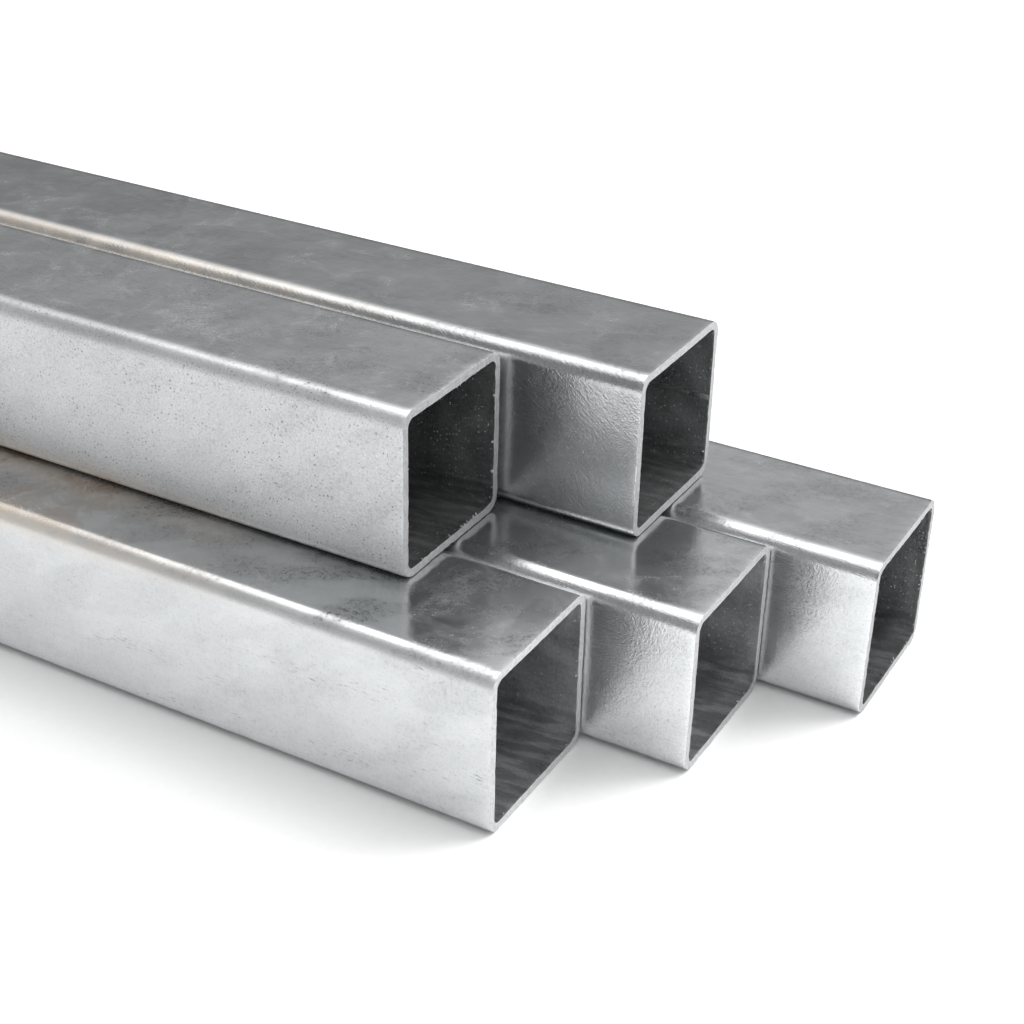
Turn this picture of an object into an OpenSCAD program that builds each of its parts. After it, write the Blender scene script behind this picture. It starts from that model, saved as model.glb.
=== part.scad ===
// A loose stack of five cold-formed square steel tubes: three side by side on
// the floor and two more lying across the joints between them. The tubes run
// along X, the row is counted from the front (-Y) to the back (+Y), and Z is up.
// The origin is the centre of the stack's footprint, on the floor.

/* [Tube section] */
// Outside width and height of each tube, in mm
tube_side = 60; // [30:1:120]
// Wall thickness
wall = 3; // [1.5:0.1:6]
// Inside corner radius; the outside one is larger by the wall
inside_radius = 3; // [1:0.1:8]

/* [Cut length] */
// Length each tube is sawn to
tube_length = 1000; // [400:10:6000]

/* [Rows] */
// Side gap between neighbouring tubes of the bottom row
bottom_gap = 0.4; // [0.2:0.1:6]
// Side gap between the two tubes of the top row
top_gap = 2.2; // [0.2:0.1:12]
// How far the middle of the top row lies towards the back from the middle of the bottom row
top_row_shift = 2.2; // [-12:0.1:12]

/* [End stagger] */
// How far the front bottom tube's +X end stands out from the stack's mean end line
bottom_front_reach = 0; // [-60:0.5:60]
// The same for the middle bottom tube
bottom_middle_reach = 38.5; // [-60:0.5:100]
// The same for the back bottom tube
bottom_back_reach = 76; // [-60:0.5:100]
// The same for the front top tube
top_front_reach = -51; // [-100:0.5:60]
// The same for the back top tube
top_back_reach = -0.5; // [-100:0.5:60]

/* [Hidden] */
$fn = 64;

zinc_grey = [0.70, 0.72, 0.73];
outside_radius = inside_radius + wall;
bore_side = tube_side - 2 * wall;
bottom_pitch = tube_side + bottom_gap;
top_pitch = tube_side + top_gap;
top_row_z = tube_side;

// The stack's two end lines, for putting the origin half way between them.
reaches = [
    bottom_front_reach,
    bottom_middle_reach,
    bottom_back_reach,
    top_front_reach,
    top_back_reach
];
end_line_x = tube_length / 2 - (max(reaches) + min(reaches)) / 2;

// A square with round corners, centred on the origin.
module round_square(side, radius) {
    inset = side / 2 - radius;
    square([side, 2 * inset], center = true);
    square([2 * inset, side], center = true);
    for (y = [-inset, inset], z = [-inset, inset])
        translate([y, z]) circle(r = radius);
}

// The tube's cross-section: outside outline less the bore.
module tube_section() {
    difference() {
        round_square(tube_side, outside_radius);
        round_square(bore_side, inside_radius);
    }
}

// One tube. Its +X end is at end_x, its middle at y, and its underside at z.
module tube(end_x, y, z) {
    color(zinc_grey)
        translate([end_x - tube_length, y, z + tube_side / 2])
            rotate([90, 0, 90])
                linear_extrude(height = tube_length)
                    tube_section();
}

// place is -1, 0 or 1: front, middle or back of the row on the floor.
module bottom_tube(place, reach) {
    tube(end_line_x + reach, place * bottom_pitch, 0);
}

// place is -0.5 or 0.5: front or back of the row that lies on top.
module top_tube(place, reach) {
    tube(end_line_x + reach, place * top_pitch + top_row_shift, top_row_z);
}

bottom_tube(-1, bottom_front_reach);  // bottom_front_tube
bottom_tube(0, bottom_middle_reach);  // bottom_middle_tube
bottom_tube(1, bottom_back_reach);  // bottom_back_tube
top_tube(-0.5, top_front_reach);  // top_front_tube
top_tube(0.5, top_back_reach);  // top_back_tube
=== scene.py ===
"""Looks of a stack of five galvanised square tubes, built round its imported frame.

Each tube is swept by one Geometry Nodes tree, which gives it its rounded corners,
slightly hollow faces and rough sawn ends. Two more trees add the weld bead inside
each tube and the burrs that the saw left. All lengths are in metres.
"""

import math
from collections import namedtuple

import bpy
from bpy.props import FloatProperty, FloatVectorProperty, IntProperty, PointerProperty
from mathutils import Matrix, Vector


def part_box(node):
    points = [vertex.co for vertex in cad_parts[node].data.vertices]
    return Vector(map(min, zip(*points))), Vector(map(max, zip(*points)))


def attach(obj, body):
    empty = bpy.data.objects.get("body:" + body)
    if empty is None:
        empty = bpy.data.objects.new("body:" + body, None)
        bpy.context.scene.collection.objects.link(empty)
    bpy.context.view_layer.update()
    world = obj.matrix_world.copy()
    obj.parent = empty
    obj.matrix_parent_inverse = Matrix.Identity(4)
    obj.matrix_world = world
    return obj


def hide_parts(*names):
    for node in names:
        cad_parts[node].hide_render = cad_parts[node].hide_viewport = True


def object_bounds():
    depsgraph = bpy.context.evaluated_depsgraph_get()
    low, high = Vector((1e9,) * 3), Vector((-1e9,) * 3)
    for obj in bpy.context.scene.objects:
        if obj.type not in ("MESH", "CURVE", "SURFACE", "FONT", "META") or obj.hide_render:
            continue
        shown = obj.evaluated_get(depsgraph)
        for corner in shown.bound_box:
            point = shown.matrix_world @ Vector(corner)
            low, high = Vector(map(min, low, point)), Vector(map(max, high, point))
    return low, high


bl_info = {
    "name": "Galvanised Tube Stack",
    "version": (1, 0, 0),
    "blender": (4, 5, 0),
    "location": "3D View > Sidebar > Tubes",
    "description": "Finishes a stack of sawn square steel tubes, with its studio",
    "category": "Object",
}

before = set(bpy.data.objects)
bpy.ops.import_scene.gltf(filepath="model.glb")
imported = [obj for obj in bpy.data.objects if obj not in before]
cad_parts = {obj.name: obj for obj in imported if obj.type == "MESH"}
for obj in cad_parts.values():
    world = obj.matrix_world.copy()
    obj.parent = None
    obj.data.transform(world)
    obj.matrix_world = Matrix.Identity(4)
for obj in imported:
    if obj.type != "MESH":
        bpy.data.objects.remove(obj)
cad_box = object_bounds()

BODY = "root"

# How one tube differs from the next. weld is the direction from the tube's middle
# to the wall with the weld bead. tone, bore and cut scale the brightness of its
# outside, its inside and its sawn ends; they are painted light and shade, each tube
# made lighter or darker by how brightly it is lit. dull says how far its sides
# scatter light. slant is the angle in radians of its brush marks to its length.
# fringe is the height, as a share of the side, of a painted warm reflection along
# its front face. The other numbers run from 0, none, to about 1, strong.
TubeLook = namedtuple(
    "TubeLook",
    "node weld tone bore cut dull pits smudges scuffs brushing slant grain stain"
    " fringe burrs",
)
FRONT, BACK = (0, -1, 0), (0, 1, 0)
LOOKS = (
    TubeLook(
        "bottom_front_tube", FRONT, tone=1.16, bore=1.12, cut=1.22, dull=0.24,
        pits=0.3, smudges=1.0, scuffs=0.75, brushing=0.2, slant=0.1, grain=0.4,
        stain=1.0, fringe=1.0, burrs=0.4,
    ),
    TubeLook(
        "bottom_middle_tube", FRONT, tone=1.17, bore=1.06, cut=1.06, dull=0.0,
        pits=0.5, smudges=0.5, scuffs=0.7, brushing=0.9, slant=-0.1, grain=0.9,
        stain=0.0, fringe=None, burrs=0.5,
    ),
    TubeLook(
        "bottom_back_tube", FRONT, tone=1.11, bore=0.7, cut=0.86, dull=0.0,
        pits=0.3, smudges=0.3, scuffs=0.6, brushing=1.1, slant=-0.1, grain=0.6,
        stain=0.0, fringe=None, burrs=0.8,
    ),
    TubeLook(
        "top_front_tube", FRONT, tone=1.08, bore=0.67, cut=0.88, dull=0.28,
        pits=1.0, smudges=0.5, scuffs=0.75, brushing=0.1, slant=0.1, grain=1.0,
        stain=0.0, fringe=0.0, burrs=1.0,
    ),
    TubeLook(
        "top_back_tube", BACK, tone=1.02, bore=0.73, cut=0.89, dull=0.0,
        pits=0.3, smudges=0.4, scuffs=0.65, brushing=0.9, slant=-0.7, grain=0.7,
        stain=0.0, fringe=1.0, burrs=0.5,
    ),
)
TUBES = {look.node: look for look in LOOKS}
SEEDS = {look.node: seed for seed, look in enumerate(LOOKS, 1)}


# ---------------------------------------------------------------- settings


class TubeSizes(bpy.types.PropertyGroup):
    """Sizes of the tubes that the frame's boxes don't give"""

    wall: FloatProperty(
        name="Wall", description="Thickness of the steel", default=0.003, unit="LENGTH"
    )
    inside_radius: FloatProperty(
        name="Inside Radius",
        description="Radius of the bore's corners",
        default=0.003,
        unit="LENGTH",
    )
    hollow: FloatProperty(
        name="Hollow",
        description="How far the middle of each flat side lies below its edges",
        default=0.0001,
        unit="LENGTH",
    )
    edge_break: FloatProperty(
        name="Edge Break",
        description="Width of the worn edges of the sawn ends",
        default=0.00015,
        unit="LENGTH",
    )
    raggedness: FloatProperty(
        name="Raggedness",
        description="How far the sawn edges wander",
        default=0.0003,
        unit="LENGTH",
    )
    corner_cuts: IntProperty(
        name="Corner Cuts", description="Segments in each rounded corner", default=10
    )
    flat_cuts: IntProperty(
        name="Flat Cuts", description="Cuts across each flat side", default=34
    )
    length_cuts: IntProperty(
        name="Length Cuts", description="Cuts along each wall", default=54
    )


class BeadSizes(bpy.types.PropertyGroup):
    """Sizes of the weld beads"""

    width: FloatProperty(
        name="Bead Width",
        description="Width of the weld bead",
        default=0.0026,
        unit="LENGTH",
    )
    height: FloatProperty(
        name="Bead Height",
        description="How far the weld bead stands into the bore",
        default=0.0007,
        unit="LENGTH",
    )
    step: FloatProperty(
        name="Bead Step",
        description="Distance between the rings of the weld bead",
        default=0.0018,
        unit="LENGTH",
    )
    inset: FloatProperty(
        name="Bead Inset",
        description="From a tube's end back to the end of its weld bead",
        default=0.0006,
        unit="LENGTH",
    )


class BurrSizes(bpy.types.PropertyGroup):
    """Sizes of the saw burrs"""

    length: FloatProperty(
        name="Burr Length",
        description="Length of an ordinary saw burr",
        default=0.0009,
        unit="LENGTH",
    )
    width: FloatProperty(
        name="Burr Width",
        description="Width of a burr at its root",
        default=0.001,
        unit="LENGTH",
    )
    inset: FloatProperty(
        name="Burr Inset",
        description="From a tube's end back to the roots of its burrs",
        default=0.0008,
        unit="LENGTH",
    )
    count: IntProperty(
        name="Burr Count", description="Most burrs round one sawn end", default=110
    )


class FinishColours(bpy.types.PropertyGroup):
    """Colours of the zinc, of the cut steel and of the marks on them, with their painted
    glints and painted warm reflection
    """

    bright_zinc: FloatVectorProperty(
        name="Bright Zinc",
        description="Lightest part of the outside coating",
        subtype="COLOR",
        default=(0.7, 0.715, 0.725),
    )
    dull_zinc: FloatVectorProperty(
        name="Dull Zinc",
        description="Darkest part of the outside coating",
        subtype="COLOR",
        default=(0.56, 0.575, 0.585),
    )
    bore_zinc: FloatVectorProperty(
        name="Bore Zinc",
        description="Coating inside the tubes",
        subtype="COLOR",
        default=(0.66, 0.67, 0.68),
    )
    cut_steel: FloatVectorProperty(
        name="Cut Steel",
        description="Bare steel of the sawn ends",
        subtype="COLOR",
        default=(0.47, 0.475, 0.48),
    )
    stain: FloatVectorProperty(
        name="Stain",
        description="Thin brown stain on the upper face",
        subtype="COLOR",
        default=(0.5, 0.42, 0.36),
    )
    grime: FloatVectorProperty(
        name="Grime",
        description="Pits, dots and smudges in the coating",
        subtype="COLOR",
        default=(0.13, 0.135, 0.14),
    )
    bore_grime: FloatVectorProperty(
        name="Bore Grime",
        description="Dirt that lies along the bottom of the bore",
        subtype="COLOR",
        default=(0.12, 0.12, 0.12),
    )
    scuffed_zinc: FloatVectorProperty(
        name="Scuffed Zinc",
        description="Bright metal laid bare where tubes rubbed",
        subtype="COLOR",
        default=(0.9, 0.9, 0.9),
    )
    # painted glints: pale dots that stand in for grain catching the light
    painted_glint: FloatVectorProperty(
        name="Glint",
        description="Brightest dots of the grain",
        subtype="COLOR",
        default=(0.95, 0.95, 0.95),
    )
    # colour of the painted warm reflection along a corner of the front face
    fringe: FloatVectorProperty(
        name="Fringe",
        description="Warm line along a corner of the front face",
        subtype="COLOR",
        default=(0.9, 0.79, 0.67),
    )


class StudioSettings(bpy.types.PropertyGroup):
    """Camera, floor and light of the studio"""

    lens: FloatProperty(
        name="Lens", description="Focal length in millimetres", default=65.6
    )
    azimuth: FloatProperty(
        name="Azimuth",
        description="Camera's direction round the stack, from its front",
        default=math.radians(28.87),
        subtype="ANGLE",
    )
    elevation: FloatProperty(
        name="Elevation",
        description="Camera's angle above the floor",
        default=math.radians(29.43),
        subtype="ANGLE",
    )
    roll: FloatProperty(
        name="Roll",
        description="Camera's turn about its own axis",
        default=math.radians(1.5),
        subtype="ANGLE",
    )
    distance: FloatProperty(
        name="Distance",
        description="From the camera to the point it looks at",
        default=0.55,
        unit="LENGTH",
    )
    aim: FloatVectorProperty(
        name="Aim",
        description="Point the camera looks at, from the near top edge of the stack",
        default=(-0.0839, -0.0671, -0.0166),
        subtype="TRANSLATION",
    )
    floor_size: FloatProperty(
        name="Floor Size", description="Width of the floor", default=40.0, unit="LENGTH"
    )
    paper_light: FloatVectorProperty(
        name="Paper Light",
        description="Lightest part of the floor",
        subtype="COLOR",
        default=(0.9, 0.9, 0.9),
    )
    paper_shade: FloatVectorProperty(
        name="Paper Shade",
        description="Darkest part of the floor",
        subtype="COLOR",
        default=(0.86, 0.86, 0.86),
    )
    sky_light: FloatProperty(
        name="Overhead Light",
        description="Brightness of the light that hangs over the stack",
        default=1.55,
    )
    back_light: FloatProperty(
        name="Back Wall",
        description="Brightness of the room behind the stack",
        default=0.295,
    )
    front_light: FloatProperty(
        name="Front Wall",
        description="Brightness of the room in front of the stack",
        default=0.23,
    )
    side_light: FloatProperty(
        name="Side Wall",
        description="Brightness of the room beyond the near ends",
        default=0.8,
    )
    key_power: FloatProperty(
        name="Key Power",
        description="Power of the soft light behind the stack",
        default=62.0,
        unit="POWER",
    )
    key_direction: FloatVectorProperty(
        name="Key Direction",
        description="Where the key light stands, seen from the near end",
        default=(0.36, 0.61, 0.73),
        subtype="DIRECTION",
    )
    key_distance: FloatProperty(
        name="Key Distance",
        description="From the near end to the key light",
        default=2.4,
        unit="LENGTH",
    )
    key_width: FloatProperty(
        name="Key Width",
        description="Size of the key light from side to side",
        default=1.6,
        unit="LENGTH",
    )
    key_height: FloatProperty(
        name="Key Height",
        description="Size of the key light from top to bottom",
        default=1.9,
        unit="LENGTH",
    )


class StackSettings(bpy.types.PropertyGroup):
    """Everything that can be set on the stack"""

    tubes: PointerProperty(type=TubeSizes)
    beads: PointerProperty(type=BeadSizes)
    burrs: PointerProperty(type=BurrSizes)
    colours: PointerProperty(type=FinishColours)
    studio: PointerProperty(type=StudioSettings)


# ---------------------------------------------------------------- node helpers


def add_node(tree, kind, inputs=None, **settings):
    """Adds a node. An input takes a value or another node's output."""
    made = tree.nodes.new(kind)
    for name, value in settings.items():
        setattr(made, name, value)
    for key, value in (inputs or {}).items():
        if isinstance(key, int):
            socket = made.inputs[key]
        else:
            socket = next(s for s in made.inputs if s.enabled and s.name == key)
        if isinstance(value, bpy.types.NodeSocket):
            tree.links.new(value, socket)
        else:
            socket.default_value = value
    return made


def result(tree, kind, inputs=None, **settings):
    """Adds a node, and gives its first output."""
    return add_node(tree, kind, inputs, **settings).outputs[0]


def calc(tree, operation, *values):
    """A Math node on one to three values."""
    inputs = dict(enumerate(values))
    return result(tree, "ShaderNodeMath", inputs, operation=operation)


def weighted(tree, *pairs):
    """The sum of values, each times its weight."""
    total = 0.0
    for value, weight in pairs:
        total = calc(tree, "MULTIPLY_ADD", value, weight, total)
    return total


def product(tree, *values):
    """Values multiplied together."""
    total = values[0]
    for value in values[1:]:
        total = calc(tree, "MULTIPLY", total, value)
    return total


def vector_calc(tree, operation, *values):
    """A Vector Math node; its number comes out where it has no vector."""
    inputs = dict(enumerate(values))
    if operation == "SCALE":
        inputs = {0: values[0], 3: values[1]}
    made = add_node(tree, "ShaderNodeVectorMath", inputs, operation=operation)
    gives_number = operation in ("DOT_PRODUCT", "LENGTH", "DISTANCE")
    return made.outputs["Value" if gives_number else "Vector"]


def split(tree, vector):
    """The three parts of a vector."""
    return add_node(tree, "ShaderNodeSeparateXYZ", {0: vector}).outputs


def join(tree, x=0.0, y=0.0, z=0.0):
    """A vector from its three parts."""
    return result(tree, "ShaderNodeCombineXYZ", {0: x, 1: y, 2: z})


def noise(tree, place, scale, detail=2.0, roughness=0.5, distortion=0.0):
    """Noise from 0 to 1, with its scale in waves per metre."""
    inputs = {
        "Vector": place,
        "Scale": scale,
        "Detail": detail,
        "Roughness": roughness,
        "Distortion": distortion,
    }
    return result(tree, "ShaderNodeTexNoise", inputs)


def ramp(tree, value, low, high, to_low=0.0, to_high=1.0, smooth=True):
    """Maps low..high of a value to to_low..to_high, held at both ends."""
    inputs = {0: value, 1: low, 2: high, 3: to_low, 4: to_high}
    kind = "SMOOTHSTEP" if smooth else "LINEAR"
    return result(tree, "ShaderNodeMapRange", inputs, interpolation_type=kind)


def blend_colours(tree, amount, first, second):
    """Two colours blended by an amount."""
    colours = {
        key: (*c, 1.0) if isinstance(c, (tuple, list)) and len(c) == 3 else c
        for key, c in (("A", first), ("B", second))
    }
    made = add_node(
        tree, "ShaderNodeMix", {"Factor": amount, **colours}, data_type="RGBA"
    )
    return next(s for s in made.outputs if s.enabled)


# ---------------------------------------------------------------- finishes

# Patterns of the outside, in waves or cells per metre.
CLOUDS, FEATHERS, CRYSTALS, GRAIN = 24.0, 85.0, 60.0, 1500.0
PIT_GROUPS, LARGE_PITS, SMALL_PITS = 70.0, 300.0, 650.0
BLOTS, POWDER, RUBBED_AREAS, WORN_AREAS = 500.0, 1100.0, 55.0, 60.0
FILM, SWELLS, RIPPLES, ORANGE_PEEL = 70.0, 28.0, 190.0, 900.0

# Patterns of the bore and of the cut steel, in waves or cells per metre.
BORE_CLOUDS, BORE_GRAIN, BORE_FLECKS, BORE_SWELLS = 80.0, 900.0, 800.0, 60.0
BLADE_WANDER, BLADE_MARKS, MOTTLE = 90.0, 1100.0, 700.0

# Patterns drawn out along the tube: their slant to its length in radians, then their
# waves per metre along and across them. The brush marks' slant is in LOOKS.
DRAWING_LINES = (0.0, 14.0, 900.0)
FLAKES = (0.3, 26.0, 50.0)
SMUDGE_PATCHES = (0.5, 30.0, 60.0)
DASHES = (-0.04, 260.0, 1500.0)
DASH_GROUPS = (0.1, 18.0, 110.0)
SCUFF_STROKES = (0.6, 200.0, 1300.0)
BRUSH_LINES = (110.0, 1900.0)
BORE_LINES = (0.0, 40.0, 500.0)
BORE_DIRT = (0.1, 60.0, 300.0)

# How deep below a face its mask is whole, and where it ends.
FACE_WHOLE, FACE_END = 0.0004, 0.004
# Where the smudges thicken, from a tube's near end.
SMUDGES_FROM, SMUDGES_FULL = 0.12, 0.05
# Where the stain and the painted warm reflection start to fade along the stack, and end.
STAIN_FADES, SHEEN_FADES = (0.24, 0.42), (0.28, 0.44)
# How far from its middle the painted warm reflection is whole, and ends, up and down
# the front face and inwards from it.
SHEEN_SPREAD, SHEEN_DEPTH = (0.001, 0.01), (0.002, 0.007)
# How far above the tube's underside the bore's grime is whole, and ends.
GRIME_WHOLE, GRIME_END = 0.006, 0.02
# How far the patterns move on from one tube or finish to the next.
PATTERN_SHIFT = (0.37, 0.53, 0.71)
BORE_SEED, CUT_SEED = 10, 20


def start_metal(name, seed):
    """A metal material: its tree, shader, patterns' coordinates and true place."""
    material = bpy.data.materials.new(name)
    material.use_nodes = True
    tree = material.node_tree
    shader = tree.nodes["Principled BSDF"]
    true_place = add_node(tree, "ShaderNodeTexCoord").outputs["Object"]
    shift = tuple(part * seed for part in PATTERN_SHIFT)
    place = result(
        tree, "ShaderNodeMapping", {"Vector": true_place, "Location": shift}
    )
    return material, tree, shader, place, true_place


def unrolled(tree, place):
    """Coordinates on the unrolled skin: along the tube, and round it."""
    x, y, z = split(tree, place)
    return join(tree, x, calc(tree, "ADD", y, z), 0.0)


def streaks(tree, skin, slant, along, across, detail):
    """Noise drawn out along a direction of the skin, in waves per metre."""
    turned = result(
        tree, "ShaderNodeMapping", {"Vector": skin, "Rotation": (0, 0, -slant)}
    )
    drawn_out = vector_calc(tree, "MULTIPLY", turned, (along, across, 1.0))
    return noise(tree, drawn_out, 1.0, detail)


def specks(tree, skin, scale, share, size):
    """Round specks scattered over the skin, from 0 to 1; share of the cells has one."""
    cells = add_node(
        tree,
        "ShaderNodeTexVoronoi",
        {"Vector": skin, "Scale": scale},
        voronoi_dimensions="2D",
    )
    chosen = split(tree, cells.outputs["Color"])[0]
    radius = ramp(tree, chosen, 1.0 - share, 1.0, 0.0, size, smooth=False)
    inside = calc(tree, "SUBTRACT", radius, cells.outputs["Distance"])
    return ramp(tree, inside, 0.0, size * 0.5)


def crystal_tones(tree, place, scale):
    """A number for each zinc crystal, with feathered borders between them."""
    wobble = add_node(
        tree, "ShaderNodeTexNoise", {"Vector": place, "Scale": 2.2 * scale}
    ).outputs["Color"]
    moved = vector_calc(
        tree, "ADD", place, vector_calc(tree, "SCALE", wobble, 0.7 / scale)
    )
    cells = add_node(
        tree, "ShaderNodeTexVoronoi", {"Vector": moved, "Scale": scale}
    ).outputs["Color"]
    return split(tree, cells)[0]


def relief(tree, *layers):
    """Bumps laid one over another, each a pattern of heights with its depth."""
    under = None
    for height, depth in layers:
        inputs = {"Height": height, "Distance": depth, "Strength": 1.0}
        if under is not None:
            inputs["Normal"] = under
        under = result(tree, "ShaderNodeBump", inputs)
    return under


def face_masks(tree, y, z, low, high):
    """Two masks from 0 to 1: the front and back faces, and the upper face."""
    front = ramp(tree, y, low.y + FACE_WHOLE, low.y + FACE_END, 1.0, 0.0)
    back = ramp(tree, y, high.y - FACE_END, high.y - FACE_WHOLE)
    on_side = calc(tree, "MAXIMUM", front, back)
    return on_side, ramp(tree, z, high.z - FACE_END, high.z)


def pit_marks(tree, place, skin):
    """Small dark spots, in loose groups."""
    grouped = ramp(tree, noise(tree, place, PIT_GROUPS), 0.38, 0.6, 0.25, 1.0)
    large = specks(tree, skin, LARGE_PITS, 0.3, 0.2)
    small = specks(tree, skin, SMALL_PITS, 0.4, 0.3)
    return product(tree, weighted(tree, (large, 0.5), (small, 1.0)), grouped)


def smudge_marks(tree, place, skin):
    """Rubbed patches full of dark dots."""
    blots = ramp(tree, noise(tree, place, BLOTS, 4.0, 0.75), 0.46, 0.66)
    patches = ramp(tree, streaks(tree, skin, *SMUDGE_PATCHES, 4.0), 0.44, 0.62)
    return product(tree, weighted(tree, (blots, 0.65), (1.0, 0.35)), patches)


def dash_marks(tree, skin):
    """Short dark dashes along the tube, in groups."""
    dashes = ramp(tree, streaks(tree, skin, *DASHES, 4.0), 0.58, 0.72)
    groups = ramp(tree, streaks(tree, skin, *DASH_GROUPS, 4.0), 0.54, 0.64)
    return product(tree, dashes, groups)


def scuff_marks(tree, place, skin, amount):
    """Short pale strokes in clusters, where tubes slid over each other."""
    strokes = ramp(tree, streaks(tree, skin, *SCUFF_STROKES, 5.0), 0.44, 0.84)
    powder = ramp(tree, noise(tree, place, POWDER, 4.0, 0.8), 0.44, 0.74)
    rubbed = noise(tree, place, RUBBED_AREAS, 5.0, 0.7, 0.5)
    rubbed = ramp(tree, rubbed, 0.6 - 0.16 * amount, 0.74 - 0.1 * amount)
    marks = weighted(tree, (strokes, 0.4), (powder, 0.5), (1.0, 0.05))
    return product(tree, marks, rubbed)


def brush_marks(tree, place, brushed):
    """Fine pale lines, in patches."""
    worn = ramp(tree, noise(tree, place, WORN_AREAS, 4.0), 0.38, 0.62)
    return product(tree, ramp(tree, brushed, 0.46, 0.8), worn)


def painted_warm_reflection(tree, film, x, y, z, line, front):
    """A painted warm reflection along the front face at one height, broken up a little by
    a film.
    """
    off_line = calc(tree, "ABSOLUTE", calc(tree, "SUBTRACT", z, line))
    on_line = ramp(tree, off_line, *SHEEN_SPREAD, 1.0, 0.0)
    whole, gone = (front + depth for depth in SHEEN_DEPTH)
    near_front = ramp(tree, y, whole, gone, 1.0, 0.0)
    unbroken = weighted(tree, (film, 0.4), (1.0, 0.6))
    tapering = ramp(tree, x, *SHEEN_FADES, 0.6, 0.0)
    return product(tree, unbroken, near_front, on_line, tapering)


def zinc_skin(name, look, colours):
    """The outside coating: clouded, lightly spangled and drawn along the tube."""
    material, tree, shader, place, true_place = start_metal(name, SEEDS[look.node])
    skin = unrolled(tree, place)
    x, y, z = split(tree, true_place)
    low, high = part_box(look.node)
    on_side, on_top = face_masks(tree, y, z, low, high)
    feathers = noise(tree, place, FEATHERS, 4.0, 0.6, 1.4)
    crystal = crystal_tones(tree, place, CRYSTALS)
    grain = noise(tree, place, GRAIN, 3.0, 0.7)
    drawn = streaks(tree, skin, *DRAWING_LINES, 3.0)
    brushed = streaks(tree, skin, look.slant, *BRUSH_LINES, 4.0)

    # the zinc itself: clouds, crystals and drawing lines, with paler flakes
    tone = weighted(
        tree,
        (noise(tree, place, CLOUDS, 3.0, 0.55, 0.3), 0.35),
        (feathers, 0.4),
        (crystal, 0.2),
        (drawn, 0.3),
        (grain, 0.5),
    )
    tone = ramp(tree, tone, 0.4, 1.3, smooth=False)
    flakes = ramp(tree, streaks(tree, skin, *FLAKES, 5.0), 0.47, 0.55)
    washed = weighted(tree, (flakes, 0.26), (1.0, -0.08))
    tone = calc(tree, "ADD", tone, product(tree, washed, on_side, look.smudges))
    # look.tone lightens or darkens each tube's whole coating: painted light and shade, set
    # by how brightly each tube is lit
    colour = blend_colours(
        tree,
        tone,
        tuple(Vector(colours.dull_zinc) * look.tone),
        tuple(Vector(colours.bright_zinc) * look.tone),
    )

    # fine dark dots, and painted glints: pale dots that stand in for grain catching the
    # light; both mostly on the sides
    graininess = weighted(tree, (on_side, look.grain), (1.0, 0.15))
    dots = product(tree, ramp(tree, grain, 0.52, 0.74), graininess)
    painted_glints = product(tree, ramp(tree, grain, 0.47, 0.3), graininess, 0.5)
    colour = blend_colours(tree, painted_glints, colour, tuple(colours.painted_glint))

    # dark marks: smudges lie mostly on the upper face, and thicken near the end
    near_end = ramp(tree, x, high.x - SMUDGES_FROM, high.x - SMUDGES_FULL, 0.7, 1.3)
    smudged = weighted(tree, (on_top, look.smudges), (1.0, 0.25))
    dark = weighted(
        tree,
        (dots, 0.4),
        (product(tree, pit_marks(tree, place, skin), look.pits), 0.6),
        (product(tree, smudge_marks(tree, place, skin), near_end, smudged), 0.6),
        (product(tree, dash_marks(tree, skin), on_side, look.smudges), 0.6),
    )
    colour = blend_colours(tree, dark, colour, tuple(colours.grime))

    # pale marks: scuffs, fewer on the sides, and brush marks on the sides only
    scuffs = scuff_marks(tree, place, skin, look.scuffs)
    shown = weighted(tree, (1.0, look.scuffs), (on_side, -0.8 * look.scuffs))
    brush = product(
        tree, brush_marks(tree, place, brushed), on_side, look.brushing, 0.3
    )
    scuffs = calc(tree, "MAXIMUM", product(tree, scuffs, shown), brush)
    colour = blend_colours(
        tree, product(tree, scuffs, 0.3), colour, tuple(colours.scuffed_zinc)
    )

    # warm marks: a thin stain film on the upper face, and a painted warm reflection along
    # one front corner
    stained, painted_sheen_amount = 0.0, 0.0
    film = ramp(tree, noise(tree, place, FILM, 5.0, 0.7, 1.0), 0.34, 0.56)
    if look.stain:
        scales = ramp(tree, crystal, 0.3, 0.7, 0.35, 1.0)
        thinning = ramp(tree, x, *STAIN_FADES, 1.0, 0.0)
        stained = product(tree, film, scales, on_top, thinning, look.stain)
        colour = blend_colours(tree, stained, colour, tuple(colours.stain))
    if look.fringe is not None:
        line = low.z + (high.z - low.z) * look.fringe
        painted_sheen_amount = painted_warm_reflection(tree, film, x, y, z, line, low.y)
        colour = blend_colours(tree, painted_sheen_amount, colour, tuple(colours.fringe))
    tree.links.new(colour, shader.inputs["Base Color"])

    # dull sides, dark marks and scuffs are rougher than the rest
    gloss = weighted(
        tree,
        (1.0, 0.1),
        (feathers, 0.1),
        (crystal, 0.05),
        (dark, 0.3),
        (scuffs, 0.3),
        (on_side, look.dull),
    )
    tree.links.new(gloss, shader.inputs["Roughness"])

    # dull sides, scuffs, the stain and the painted warm reflection scatter light as well
    # as mirror it
    mirror = weighted(
        tree,
        (1.0, 0.94),
        (on_side, -look.dull),
        (scuffs, -0.35),
        (stained, -0.1),
        (painted_sheen_amount, -0.5),
    )
    tree.links.new(mirror, shader.inputs["Metallic"])

    def deeper_on_side(more, least):
        """A depth that grows on the sides."""
        return calc(tree, "MULTIPLY_ADD", on_side, more, least)

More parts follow.
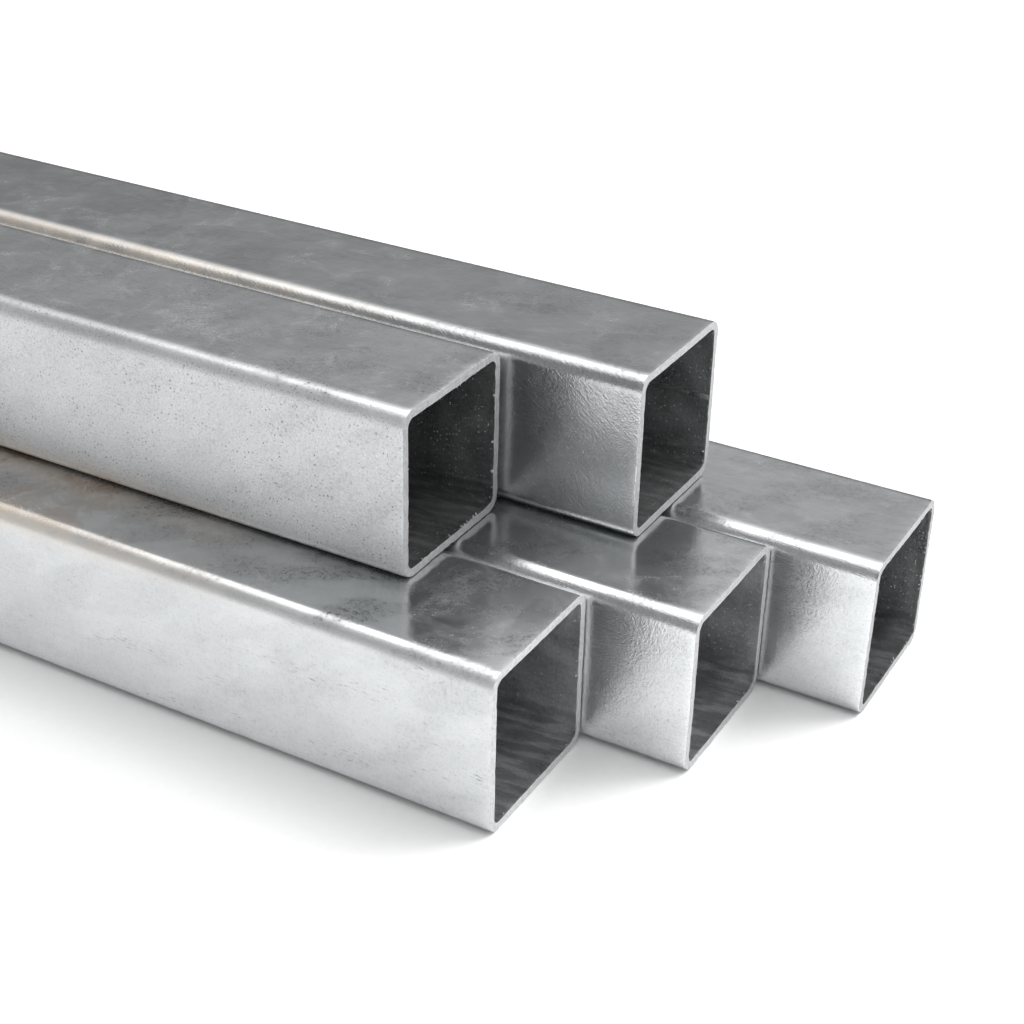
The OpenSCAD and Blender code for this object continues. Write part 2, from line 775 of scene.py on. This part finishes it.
    peel = noise(tree, place, ORANGE_PEEL, 3.0, 0.65)
    skin_relief = relief(
        tree,
        (noise(tree, place, SWELLS, 1.0), 0.0005),
        (noise(tree, place, RIPPLES, 2.0), 0.00006),
        (brushed, deeper_on_side(0.00005 * look.brushing, 0.00001)),
        (drawn, 0.000012),
        (peel, deeper_on_side(0.0001 * look.grain, 0.00002)),
        (grain, deeper_on_side(0.00006 * look.grain, 0.00001)),
    )
    tree.links.new(skin_relief, shader.inputs["Normal"])
    return material


def bore_skin(name, look, colours):
    """The coating inside: mottled and flecked, with grime along its floor."""
    seed = SEEDS[look.node] + BORE_SEED
    material, tree, shader, place, true_place = start_metal(name, seed)
    shader.inputs["Metallic"].default_value = 0.9
    skin = unrolled(tree, place)
    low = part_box(look.node)[0]
    clouds = noise(tree, place, BORE_CLOUDS, 5.0, 0.6, 0.2)
    drawn = streaks(tree, skin, *BORE_LINES, 3.0)
    grain = noise(tree, place, BORE_GRAIN, 3.0, 0.75)
    fleck = specks(tree, skin, BORE_FLECKS, 0.3, 0.26)
    tone = weighted(tree, (drawn, 0.2), (clouds, 0.9), (grain, 0.5))
    tone = ramp(tree, tone, 0.5, 1.1)
    # look.bore lightens or darkens each tube's whole bore, its weld bead with it: painted
    # light and shade, set by how much light gets into each bore
    base = Vector(colours.bore_zinc) * look.bore
    colour = blend_colours(tree, tone, tuple(base * 0.7), tuple(base * 1.25))
    height = split(tree, true_place)[2]
    grime = product(
        tree,
        ramp(tree, height, low.z + GRIME_WHOLE, low.z + GRIME_END, 1.0, 0.0),
        ramp(tree, streaks(tree, skin, *BORE_DIRT, 5.0), 0.4, 0.56),
        0.4,
    )
    colour = blend_colours(tree, grime, colour, tuple(colours.bore_grime))
    colour = blend_colours(
        tree, product(tree, fleck, 0.8), colour, tuple(colours.bright_zinc)
    )
    tree.links.new(colour, shader.inputs["Base Color"])
    gloss = weighted(tree, (1.0, 0.2), (clouds, 0.2), (fleck, 0.3))
    tree.links.new(gloss, shader.inputs["Roughness"])
    bore_relief = relief(
        tree,
        (noise(tree, place, BORE_SWELLS, 2.0), 0.0003),
        (fleck, 0.0001),
        (grain, 0.00015),
    )
    tree.links.new(bore_relief, shader.inputs["Normal"])
    return material


def sawn_steel(name, look, colours):
    """The sawn ends: bare steel with the marks of the blade."""
    seed = SEEDS[look.node] + CUT_SEED
    material, tree, shader, place, _ = start_metal(name, seed)
    shader.inputs["Metallic"].default_value = 0.3
    _, y, z = split(tree, place)
    wander = calc(tree, "MULTIPLY", noise(tree, place, BLADE_WANDER), 0.0012)
    across = weighted(tree, (y, 1.0), (wander, 1.0), (z, 0.12))
    marks = noise(tree, join(tree, across), BLADE_MARKS, 3.0)
    mottle = noise(tree, place, MOTTLE, 3.0, 0.7)
    tone = weighted(tree, (marks, 0.6), (mottle, 1.0))
    tone = ramp(tree, tone, 0.5, 1.1)
    # look.cut lightens or darkens each tube's sawn ends, its burrs with them: painted
    # light and shade, set by how much light reaches each end
    base = Vector(colours.cut_steel) * look.cut
    colour = blend_colours(tree, tone, tuple(base * 0.75), tuple(base * 1.15))
    tree.links.new(colour, shader.inputs["Base Color"])
    gloss = weighted(tree, (1.0, 0.42), (mottle, 0.2))
    tree.links.new(gloss, shader.inputs["Roughness"])
    cut_relief = relief(tree, (marks, 0.0001), (mottle, 0.00005))
    tree.links.new(cut_relief, shader.inputs["Normal"])
    return material


def finishes(name):
    """The outside, bore and cut finishes of one tube, made once."""
    colours = bpy.context.scene.tube_stack.colours
    look = TUBES[name]
    makers = {"zinc": zinc_skin, "bore": bore_skin, "cut": sawn_steel}
    made = {}
    for part, maker in makers.items():
        label = f"{name}_{part}"
        made[part] = bpy.data.materials.get(label) or maker(label, look, colours)
    return made


# ---------------------------------------------------------------- shape helpers


def new_tree(name, sockets):
    """A Geometry Nodes tree with named inputs; gives the tree and their outputs."""
    tree = bpy.data.node_groups.new(name, "GeometryNodeTree")
    kinds = {
        float: "NodeSocketFloat",
        int: "NodeSocketInt",
        tuple: "NodeSocketVector",
        None: "NodeSocketMaterial",
    }
    for label, sample in sockets.items():
        kind = kinds[None if sample is None else type(sample)]
        socket = tree.interface.new_socket(label, in_out="INPUT", socket_type=kind)
        if sample is not None:
            socket.default_value = sample
    tree.interface.new_socket(
        "Geometry", in_out="OUTPUT", socket_type="NodeSocketGeometry"
    )
    given = tree.nodes.new("NodeGroupInput").outputs
    return tree, {label: given[label] for label in sockets}


def end_tree(tree, shape, finish_list):
    """Realizes the instances, sets each finish where its selection says, and ends."""
    shape = result(tree, "GeometryNodeRealizeInstances", {0: shape})
    for material, selection in finish_list:
        inputs = {"Geometry": shape, "Material": material}
        if selection is not None:
            inputs["Selection"] = selection
        shape = result(tree, "GeometryNodeSetMaterial", inputs)
    out = tree.nodes.new("NodeGroupOutput")
    tree.links.new(shape, out.inputs[0])


def grown_piece(name, tree, values):
    """Runs a tree with its inputs set, and keeps the result as a plain mesh."""
    piece = bpy.data.objects.new(name, bpy.data.meshes.new(name))
    bpy.context.scene.collection.objects.link(piece)
    modifier = piece.modifiers.new(tree.name, "NODES")
    modifier.node_group = tree
    sockets = {s.name: s.identifier for s in tree.interface.items_tree}
    for label, value in values.items():
        modifier[sockets[label]] = value
    depsgraph = bpy.context.evaluated_depsgraph_get()
    evaluated = piece.evaluated_get(depsgraph)
    mesh = bpy.data.meshes.new_from_object(evaluated, depsgraph=depsgraph)
    if not mesh.polygons:
        raise RuntimeError(f"the tree {tree.name} made nothing for {name}")
    piece.modifiers.clear()
    piece.data = mesh
    mesh.name = name
    return piece


def seated(piece, *replaced):
    """Lets a piece ride with the stack, in the place of CAD nodes if it has any."""
    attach(piece, BODY)
    if replaced:
        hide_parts(*replaced)


def next_gap(tree, curve):
    """The distance from each point of a closed curve to the next one."""
    count = result(
        tree, "GeometryNodeAttributeDomainSize", {0: curve}, component="CURVE"
    )
    index = result(tree, "GeometryNodeInputIndex")
    following = calc(tree, "MODULO", calc(tree, "ADD", index, 1.0), count)
    position = result(tree, "GeometryNodeInputPosition")
    ahead = result(
        tree,
        "GeometryNodeSampleIndex",
        {"Geometry": curve, "Value": position, "Index": following},
        data_type="FLOAT_VECTOR",
    )
    return vector_calc(tree, "DISTANCE", position, ahead)


def cut_long_segments(tree, curve, longer_than, cuts, other_cuts=0):
    """Cuts the long segments of a curve, and its others by another count."""
    is_long = calc(tree, "GREATER_THAN", next_gap(tree, curve), longer_than)
    number = result(
        tree,
        "GeometryNodeSwitch",
        {"Switch": is_long, "False": other_cuts, "True": cuts},
        input_type="INT",
    )
    return result(
        tree, "GeometryNodeSubdivideCurve", {"Curve": curve, "Cuts": number}
    )


# ---------------------------------------------------------------- tubes


def rounded_outline(tree, side, radius, corner_cuts):
    """A square with rounded corners."""
    square = result(
        tree,
        "GeometryNodeCurvePrimitiveQuadrilateral",
        {"Width": side, "Height": side},
    )
    return result(
        tree,
        "GeometryNodeFilletCurve",
        {"Curve": square, "Count": corner_cuts, "Radius": radius},
        mode="POLY",
    )


# A wall's long sides and an outline's flat sides are told by being longer than this.
LONG_WALL, LONG_FLAT = 0.05, 0.008
# Cuts through the wall's thickness, and how far its rings crowd towards the ends.
WALL_CUTS, CROWDING = 4, 2.6
# How far in from a sawn end its raggedness reaches, and the least angle of an edge
# that is shaded sharp.
RAGGED_DEPTH, SHARP_ANGLE = 0.0015, math.radians(25)


def wall_section(tree, wall, length, edge_break, length_cuts):
    """The wall cut lengthways: a long strip, finest at its ends, with broken edges."""
    strip = result(
        tree,
        "GeometryNodeCurvePrimitiveQuadrilateral",
        {"Width": wall, "Height": length},
    )
    strip = cut_long_segments(tree, strip, LONG_WALL, length_cuts, WALL_CUTS)
    x, y, _ = split(tree, result(tree, "GeometryNodeInputPosition"))
    half = calc(tree, "DIVIDE", length, 2.0)
    share = calc(tree, "DIVIDE", y, half)
    from_end = calc(tree, "SUBTRACT", 1.0, calc(tree, "ABSOLUTE", share))
    from_end = calc(tree, "MAXIMUM", from_end, 0.0)
    crowded = calc(tree, "POWER", from_end, CROWDING)
    inner = calc(tree, "SUBTRACT", 1.0, crowded)
    new_y = product(tree, half, inner, calc(tree, "SIGN", share))
    depth = calc(tree, "MULTIPLY", half, crowded)
    broken = calc(tree, "MAXIMUM", calc(tree, "SUBTRACT", edge_break, depth), 0.0)
    limit = calc(tree, "SUBTRACT", calc(tree, "DIVIDE", wall, 2.0), broken)
    held = calc(tree, "MINIMUM", calc(tree, "ABSOLUTE", x), limit)
    new_x = calc(tree, "MULTIPLY", calc(tree, "SIGN", x), held)
    return result(
        tree,
        "GeometryNodeSetPosition",
        {"Geometry": strip, "Position": join(tree, new_x, new_y, 0.0)},
    )


def hollow_offset(tree, position, side, hollow):
    """How far each spot of the flat sides sags inwards, most in their middle."""
    x, y, _ = split(tree, position)
    half_side = calc(tree, "DIVIDE", side, 2.0)
    sags = []
    for along, across in ((y, x), (x, y)):
        share = calc(tree, "DIVIDE", along, half_side)
        sag = calc(tree, "SUBTRACT", 1.0, calc(tree, "MULTIPLY", share, share))
        sag = calc(tree, "MAXIMUM", sag, 0.0)
        nearness = calc(tree, "DIVIDE", calc(tree, "ABSOLUTE", across), half_side)
        near_wall = ramp(tree, nearness, 0.8, 0.9)
        way = calc(tree, "SIGN", across)
        sags.append(product(tree, sag, hollow, near_wall, way, -1.0))
    return join(tree, *sags)


def ragged_offset(tree, position, length, raggedness, seed):
    """How far each spot near the sawn ends is moved, so that their edges wander."""
    x, y, z = split(tree, position)
    half = calc(tree, "DIVIDE", length, 2.0)
    depth = calc(tree, "SUBTRACT", half, calc(tree, "ABSOLUTE", z))
    at_end = ramp(tree, depth, 0.0, RAGGED_DEPTH, 1.0, 0.0)
    seeding = join(tree, seed, calc(tree, "MULTIPLY", seed, 0.7))
    seeded = vector_calc(tree, "ADD", position, seeding)
    sway = noise(tree, seeded, 45.0, 1.0)
    chips = ramp(tree, noise(tree, seeded, 420.0, 3.0, 0.65), 0.45, 0.8)
    cut_back = calc(tree, "ADD", sway, chips)
    back = product(tree, cut_back, raggedness, calc(tree, "SIGN", z), -1.0)
    wander = noise(tree, seeded, 650.0, 2.0)
    outwards = vector_calc(tree, "NORMALIZE", join(tree, x, y))
    sideways = vector_calc(
        tree, "SCALE", outwards, product(tree, wander, raggedness, -0.8)
    )
    offset = vector_calc(tree, "ADD", sideways, join(tree, z=back))
    return vector_calc(tree, "SCALE", offset, at_end)


def tube_tree():
    """Sweeps the wall section round the rounded outline, and roughens the ends."""
    tree, given = new_tree(
        "square_tube",
        {
            "Side": 0.06,
            "Wall": 0.003,
            "Inside Radius": 0.003,
            "Length": 1.0,
            "Centre": (0.0, 0.0, 0.0),
            "Hollow": 0.0001,
            "Edge Break": 0.0002,
            "Raggedness": 0.0002,
            "Corner Cuts": 8,
            "Flat Cuts": 30,
            "Length Cuts": 50,
            "Seed": 1.0,
            "Zinc": None,
            "Bore": None,
            "Cut": None,
        },
    )
    wall = given["Wall"]
    outline = rounded_outline(
        tree,
        calc(tree, "SUBTRACT", given["Side"], wall),
        calc(tree, "MULTIPLY_ADD", wall, 0.5, given["Inside Radius"]),
        given["Corner Cuts"],
    )
    outline = cut_long_segments(tree, outline, LONG_FLAT, given["Flat Cuts"])
    section = wall_section(
        tree, wall, given["Length"], given["Edge Break"], given["Length Cuts"]
    )
    swept = result(
        tree, "GeometryNodeCurveToMesh", {"Curve": outline, "Profile Curve": section}
    )

    # still upright here: z runs along the tube, x and y across it
    position = result(tree, "GeometryNodeInputPosition")
    for offset in (
        hollow_offset(tree, position, given["Side"], given["Hollow"]),
        ragged_offset(
            tree, position, given["Length"], given["Raggedness"], given["Seed"]
        ),
    ):
        swept = result(
            tree, "GeometryNodeSetPosition", {"Geometry": swept, "Offset": offset}
        )

    lying = result(
        tree,
        "GeometryNodeTransform",
        {
            "Geometry": swept,
            "Translation": given["Centre"],
            "Rotation": (0.0, math.pi / 2, 0.0),
        },
    )
    angle = result(tree, "GeometryNodeInputMeshEdgeAngle")
    crease = calc(tree, "GREATER_THAN", angle, SHARP_ANGLE)
    lying = result(
        tree,
        "GeometryNodeSetShadeSmooth",
        {"Geometry": lying, "Selection": crease, "Shade Smooth": False},
        domain="EDGE",
    )

    normal = result(tree, "GeometryNodeInputNormal")
    middle = result(tree, "GeometryNodeInputPosition")
    from_axis = vector_calc(tree, "SUBTRACT", middle, given["Centre"])
    across = vector_calc(tree, "MULTIPLY", from_axis, (0.0, 1.0, 1.0))
    facing_in = calc(
        tree, "LESS_THAN", vector_calc(tree, "DOT_PRODUCT", normal, across), 0.0
    )
    facing_end = calc(
        tree, "GREATER_THAN", calc(tree, "ABSOLUTE", split(tree, normal)[0]), 0.5
    )
    end_tree(
        tree,
        lying,
        [
            (given["Zinc"], None),
            (given["Bore"], facing_in),
            (given["Cut"], facing_end),
        ],
    )
    return tree


class STACK_OT_tubes(bpy.types.Operator):
    """Makes the five tubes in the place of their plain CAD solids"""

    bl_idname = "tube_stack.tubes"
    bl_label = "Square Tubes"

    def execute(self, context):
        sizes = context.scene.tube_stack.tubes
        tree = tube_tree()
        for name, look in TUBES.items():
            low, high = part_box(name)
            made = finishes(name)
            values = {
                "Side": high.z - low.z,
                "Wall": sizes.wall,
                "Inside Radius": sizes.inside_radius,
                "Length": high.x - low.x,
                "Centre": tuple((low + high) / 2),
                "Hollow": sizes.hollow,
                "Edge Break": sizes.edge_break,
                "Raggedness": sizes.raggedness * (0.4 + look.burrs),
                "Corner Cuts": sizes.corner_cuts,
                "Flat Cuts": sizes.flat_cuts,
                "Length Cuts": sizes.length_cuts,
                "Seed": float(SEEDS[name]),
                "Zinc": made["zinc"],
                "Bore": made["bore"],
                "Cut": made["cut"],
            }
            seated(grown_piece(f"{name}_steel", tree, values), name)
        return {"FINISHED"}


# ---------------------------------------------------------------- weld beads


def bead_tree():
    """A low uneven ridge along the inside of a wall."""
    tree, given = new_tree(
        "weld_bead",
        {
            "Start": (0.0, 0.0, 0.0),
            "End": (1.0, 0.0, 0.0),
            "Width": 0.0025,
            "Height": 0.0006,
            "Step": 0.002,
            "Seed": 1.0,
            "Finish": None,
        },
    )
    line = result(
        tree,
        "GeometryNodeCurvePrimitiveLine",
        {"Start": given["Start"], "End": given["End"]},
    )
    line = result(
        tree,
        "GeometryNodeResampleCurve",
        {"Curve": line, "Length": given["Step"]},
        mode="LENGTH",
    )
    position = result(tree, "GeometryNodeInputPosition")
    seeded = vector_calc(tree, "ADD", position, join(tree, given["Seed"]))
    swell = noise(tree, seeded, 260.0, 2.0)
    ring = result(
        tree, "GeometryNodeCurvePrimitiveCircle", {"Resolution": 10, "Radius": 1.0}
    )
    half_width = calc(tree, "DIVIDE", given["Width"], 2.0)
    size = join(tree, given["Height"], half_width, 1.0)
    ring = result(tree, "GeometryNodeTransform", {"Geometry": ring, "Scale": size})
    ridge = result(
        tree,
        "GeometryNodeCurveToMesh",
        {
            "Curve": line,
            "Profile Curve": ring,
            "Scale": ramp(tree, swell, 0.3, 0.75, 0.7, 1.15),
            "Fill Caps": True,
        },
    )
    end_tree(tree, ridge, [(given["Finish"], None)])
    return tree


class STACK_OT_weld_beads(bpy.types.Operator):
    """Lays the weld bead along the inside of each tube"""

    bl_idname = "tube_stack.weld_beads"
    bl_label = "Weld Beads"

    def execute(self, context):
        stack = context.scene.tube_stack
        tree = bead_tree()
        for name, look in TUBES.items():
            low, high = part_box(name)
            centre = (low + high) / 2
            reach = (high.z - low.z) / 2 - stack.tubes.wall
            side = Vector(look.weld) * reach
            end = Vector(((high.x - low.x) / 2 - stack.beads.inset, 0, 0))
            values = {
                "Start": tuple(centre + side - end),
                "End": tuple(centre + side + end),
                "Width": stack.beads.width,
                "Height": stack.beads.height,
                "Step": stack.beads.step,
                "Seed": float(SEEDS[name]),
                "Finish": finishes(name)["bore"],
            }
            seated(grown_piece(f"{name}_weld_bead", tree, values))
        return {"FINISHED"}


# ---------------------------------------------------------------- saw burrs


# Segments in each corner of the line that the burrs stand on.
BURR_CORNER_CUTS = 6


def burr_tree():
    """Small leaning slivers scattered round the inner edges of both sawn ends."""
    tree, given = new_tree(
        "saw_burrs",
        {
            "Bore Side": 0.054,
            "Inside Radius": 0.003,
            "Centre": (0.0, 0.0, 0.0),
            "Half Length": 0.5,
            "Count": 100,
            "Share": 0.5,
            "Length": 0.001,
            "Width": 0.0005,
            "Seed": 1,
            "Finish": None,
        },
    )
    outline = rounded_outline(
        tree, given["Bore Side"], given["Inside Radius"], BURR_CORNER_CUTS
    )
    dots = add_node(
        tree, "GeometryNodeCurveToPoints", {"Curve": outline, "Count": given["Count"]}
    ).outputs["Points"]

    def random_value(low, high, shift):
        seed = calc(tree, "ADD", given["Seed"], float(shift))
        return add_node(
            tree, "FunctionNodeRandomValue", {"Min": low, "Max": high, "Seed": seed}
        ).outputs[1]

    position = result(tree, "GeometryNodeInputPosition")
    x, y, _ = split(tree, position)
    seeded = vector_calc(tree, "ADD", position, join(tree, given["Seed"]))
    clustered = ramp(tree, noise(tree, seeded, 90.0, 2.0), 0.4, 0.65)
    chance = calc(tree, "MULTIPLY", clustered, given["Share"])
    kept = calc(tree, "LESS_THAN", random_value(0.0, 1.0, 1), chance)
    sliver = result(
        tree,
        "GeometryNodeMeshCone",
        {
            "Vertices": 5,
            "Side Segments": 2,
            "Radius Top": 0.3,
            "Radius Bottom": 0.5,
            "Depth": 1.0,
        },
    )
    inwards = vector_calc(tree, "NORMALIZE", join(tree, x, y, 0.0))
    inwards = vector_calc(tree, "SCALE", inwards, -1.0)
    lean = join(
        tree,
        random_value(-0.5, 0.5, 2),
        random_value(-0.5, 0.5, 3),
        random_value(-0.5, 0.1, 4),
    )
    lean = vector_calc(tree, "ADD", inwards, lean)
    turn = result(
        tree, "FunctionNodeAlignRotationToVector", {"Vector": lean}, axis="Z"
    )
    long = random_value(0.25, 1.0, 5)
    long = product(tree, long, long, given["Length"])
    thick = product(tree, random_value(0.35, 1.0, 6), given["Width"])
    slivers = result(
        tree,
        "GeometryNodeInstanceOnPoints",
        {
            "Points": dots,
            "Selection": kept,
            "Instance": sliver,
            "Rotation": turn,
            "Scale": join(tree, thick, thick, long),
        },
    )
    both = tree.nodes.new("GeometryNodeJoinGeometry")
    for way, turned in ((1.0, 0.0), (-1.0, math.pi)):
        # the far end is the near one turned round, so its burrs look back
        shift = join(tree, calc(tree, "MULTIPLY", given["Half Length"], way))
        end = result(
            tree,
            "GeometryNodeTransform",
            {
                "Geometry": slivers,
                "Translation": vector_calc(tree, "ADD", given["Centre"], shift),
                "Rotation": (0.0, math.pi / 2, turned),
            },
        )
        tree.links.new(end, both.inputs[0])
    end_tree(tree, both.outputs[0], [(given["Finish"], None)])
    return tree


class STACK_OT_saw_burrs(bpy.types.Operator):
    """Scatters the burrs that the saw left round both ends of each bore"""

    bl_idname = "tube_stack.saw_burrs"
    bl_label = "Saw Burrs"

    def execute(self, context):
        stack = context.scene.tube_stack
        burrs = stack.burrs
        tree = burr_tree()
        for name, look in TUBES.items():
            low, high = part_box(name)
            values = {
                "Bore Side": high.z - low.z - 2 * stack.tubes.wall,
                "Inside Radius": stack.tubes.inside_radius,
                "Centre": tuple((low + high) / 2),
                "Half Length": (high.x - low.x) / 2 - burrs.inset,
                "Count": burrs.count,
                "Share": look.burrs,
                "Length": burrs.length * (0.5 + look.burrs),
                "Width": burrs.width * (0.5 + look.burrs),
                "Seed": SEEDS[name],
                "Finish": finishes(name)["cut"],
            }
            seated(grown_piece(f"{name}_saw_burrs", tree, values))
        return {"FINISHED"}


# ---------------------------------------------------------------- studio


def studio_floor(studio):
    """A pale matt floor that runs past the view on every side."""
    half = studio.floor_size / 2
    mesh = bpy.data.meshes.new("studio_floor")
    corners = [(-half, -half, 0), (half, -half, 0), (half, half, 0), (-half, half, 0)]
    mesh.from_pydata(corners, [], [(0, 1, 2, 3)])
    floor = bpy.data.objects.new("studio_floor", mesh)
    bpy.context.scene.collection.objects.link(floor)
    material = bpy.data.materials.new("studio_paper")
    material.use_nodes = True
    tree = material.node_tree
    shader = tree.nodes["Principled BSDF"]
    place = add_node(tree, "ShaderNodeTexCoord").outputs["Object"]
    fibres = noise(tree, place, 300.0, 3.0)
    colour = blend_colours(
        tree, fibres, tuple(studio.paper_shade), tuple(studio.paper_light)
    )
    tree.links.new(colour, shader.inputs["Base Color"])
    shader.inputs["Roughness"].default_value = 0.9
    shader.inputs["Specular IOR Level"].default_value = 0.1
    mesh.materials.append(material)


def studio_light(studio):
    """A broad light overhead, a dim room round it, and a soft key from behind."""
    world = bpy.data.worlds.new("studio_light")
    bpy.context.scene.world = world
    world.use_nodes = True
    tree = world.node_tree
    direction = add_node(tree, "ShaderNodeTexCoord").outputs["Generated"]
    x, y, z = split(tree, direction)  # each from -1 to 1
    behind = ramp(tree, y, -0.3, 0.3)
    wall = ramp(tree, z, 0.2, 0.6, 0.4 * studio.back_light, 1.6 * studio.back_light)
    glow = ramp(tree, z, 0.5, 0.75, 0.0, 1.5 * studio.back_light)
    dim = ramp(tree, x, -0.6, -0.2, 0.7 * studio.front_light, 1.6 * studio.front_light)
    dim = calc(tree, "MULTIPLY", dim, ramp(tree, x, -0.1, 0.3, 1.0, 0.4))
    above = ramp(tree, z, 0.72, 0.92, 0.0, studio.sky_light)
    above = calc(tree, "MULTIPLY", above, ramp(tree, y, 0.3, 0.5, 1.0, 0.35))
    # less of the overhead light comes from the front, away from the near ends
    shaded = product(
        tree, ramp(tree, x, 0.0, 0.3, 0.7, 0.0), ramp(tree, y, -0.5, -0.25, 1.0, 0.0)
    )
    above = calc(tree, "MULTIPLY", above, calc(tree, "SUBTRACT", 1.0, shaded))
    level = weighted(
        tree,
        (calc(tree, "ADD", wall, glow), behind),
        (dim, calc(tree, "SUBTRACT", 1.0, behind)),
        (above, 1.0),
        (ramp(tree, x, 0.2, 0.8), studio.side_light),
    )
    # the camera itself sees plain white
    seen = add_node(tree, "ShaderNodeLightPath").outputs["Is Camera Ray"]
    level = calc(tree, "MAXIMUM", level, seen)
    background = tree.nodes["Background"]
    tree.links.new(level, background.inputs["Strength"])
    background.inputs["Color"].default_value = (1.0, 1.0, 1.0, 1.0)

    lamp = bpy.data.lights.new("key_light", "AREA")
    lamp.shape = "RECTANGLE"
    lamp.size = studio.key_width
    lamp.size_y = studio.key_height
    lamp.energy = studio.key_power
    key = bpy.data.objects.new("key_light", lamp)
    bpy.context.scene.collection.objects.link(key)
    # the key light only lights matt surfaces, so that no face mirrors it
    key.visible_camera = False
    key.visible_glossy = False
    towards = Vector(studio.key_direction).normalized()
    near_end = Vector((cad_box[1].x, 0.0, 0.0))
    key.location = near_end + towards * studio.key_distance
    key.rotation_euler = towards.to_track_quat("Z", "Y").to_euler()


def studio_camera(studio):
    """The camera, set by its direction round the stack."""
    camera = bpy.data.objects.new("studio_camera", bpy.data.cameras.new("studio_camera"))
    bpy.context.scene.collection.objects.link(camera)
    camera.data.lens = studio.lens
    camera.data.sensor_width = 36.0
    camera.data.clip_start = 0.01
    camera.data.clip_end = 200.0
    flat = math.cos(studio.elevation)
    back = Vector(
        (
            math.sin(studio.azimuth) * flat,
            -math.cos(studio.azimuth) * flat,
            math.sin(studio.elevation),
        )
    )
    high = cad_box[1]
    aim = Vector((high.x, 0.0, high.z)) + Vector(studio.aim)
    turn = back.to_track_quat("Z", "Y").to_matrix() @ Matrix.Rotation(
        studio.roll, 3, "Z"
    )
    camera.matrix_world = Matrix.Translation(aim + back * studio.distance) @ turn.to_4x4()
    bpy.context.scene.camera = camera


class STACK_OT_studio(bpy.types.Operator):
    """Sets the floor, the light and the camera round the stack"""

    bl_idname = "tube_stack.studio"
    bl_label = "Studio"

    def execute(self, context):
        studio = context.scene.tube_stack.studio
        studio_floor(studio)
        studio_light(studio)
        studio_camera(studio)
        context.scene.view_settings.view_transform = "Standard"
        return {"FINISHED"}


# ---------------------------------------------------------------- panel and main


class STACK_PT_panel(bpy.types.Panel):
    """Lists what makes the stack, in the order it is made"""

    bl_label = "Tube Stack"
    bl_space_type = "VIEW_3D"
    bl_region_type = "UI"
    bl_category = "Tubes"

    def draw(self, context):
        stack = context.scene.tube_stack
        for operator, groups in OPERATORS:
            self.layout.operator(operator.bl_idname)
            column = self.layout.column()
            for group in groups:
                settings = getattr(stack, group)
                for name in settings.__annotations__:
                    column.prop(settings, name)


# Each operator, in the order it runs, with the groups of settings that the panel
# shows under it.
OPERATORS = (
    (STACK_OT_tubes, ("tubes", "colours")),
    (STACK_OT_weld_beads, ("beads",)),
    (STACK_OT_saw_burrs, ("burrs",)),
    (STACK_OT_studio, ("studio",)),
)
SETTINGS = (
    TubeSizes,
    BeadSizes,
    BurrSizes,
    FinishColours,
    StudioSettings,
    StackSettings,
)


def register():
    """Registers the settings, the operators and the panel."""
    for group in SETTINGS:
        bpy.utils.register_class(group)
    for operator, _ in OPERATORS:
        bpy.utils.register_class(operator)
    bpy.utils.register_class(STACK_PT_panel)
    bpy.types.Scene.tube_stack = PointerProperty(type=StackSettings)


def unregister():
    """Takes back what register did."""
    del bpy.types.Scene.tube_stack
    bpy.utils.unregister_class(STACK_PT_panel)
    for operator, _ in reversed(OPERATORS):
        bpy.utils.unregister_class(operator)
    for group in reversed(SETTINGS):
        bpy.utils.unregister_class(group)


def main():
    """Makes the whole stack in its studio."""
    register()
    bpy.ops.tube_stack.tubes()
    bpy.ops.tube_stack.weld_beads()
    bpy.ops.tube_stack.saw_burrs()
    bpy.ops.tube_stack.studio()


if __name__ == "__main__":
    main()
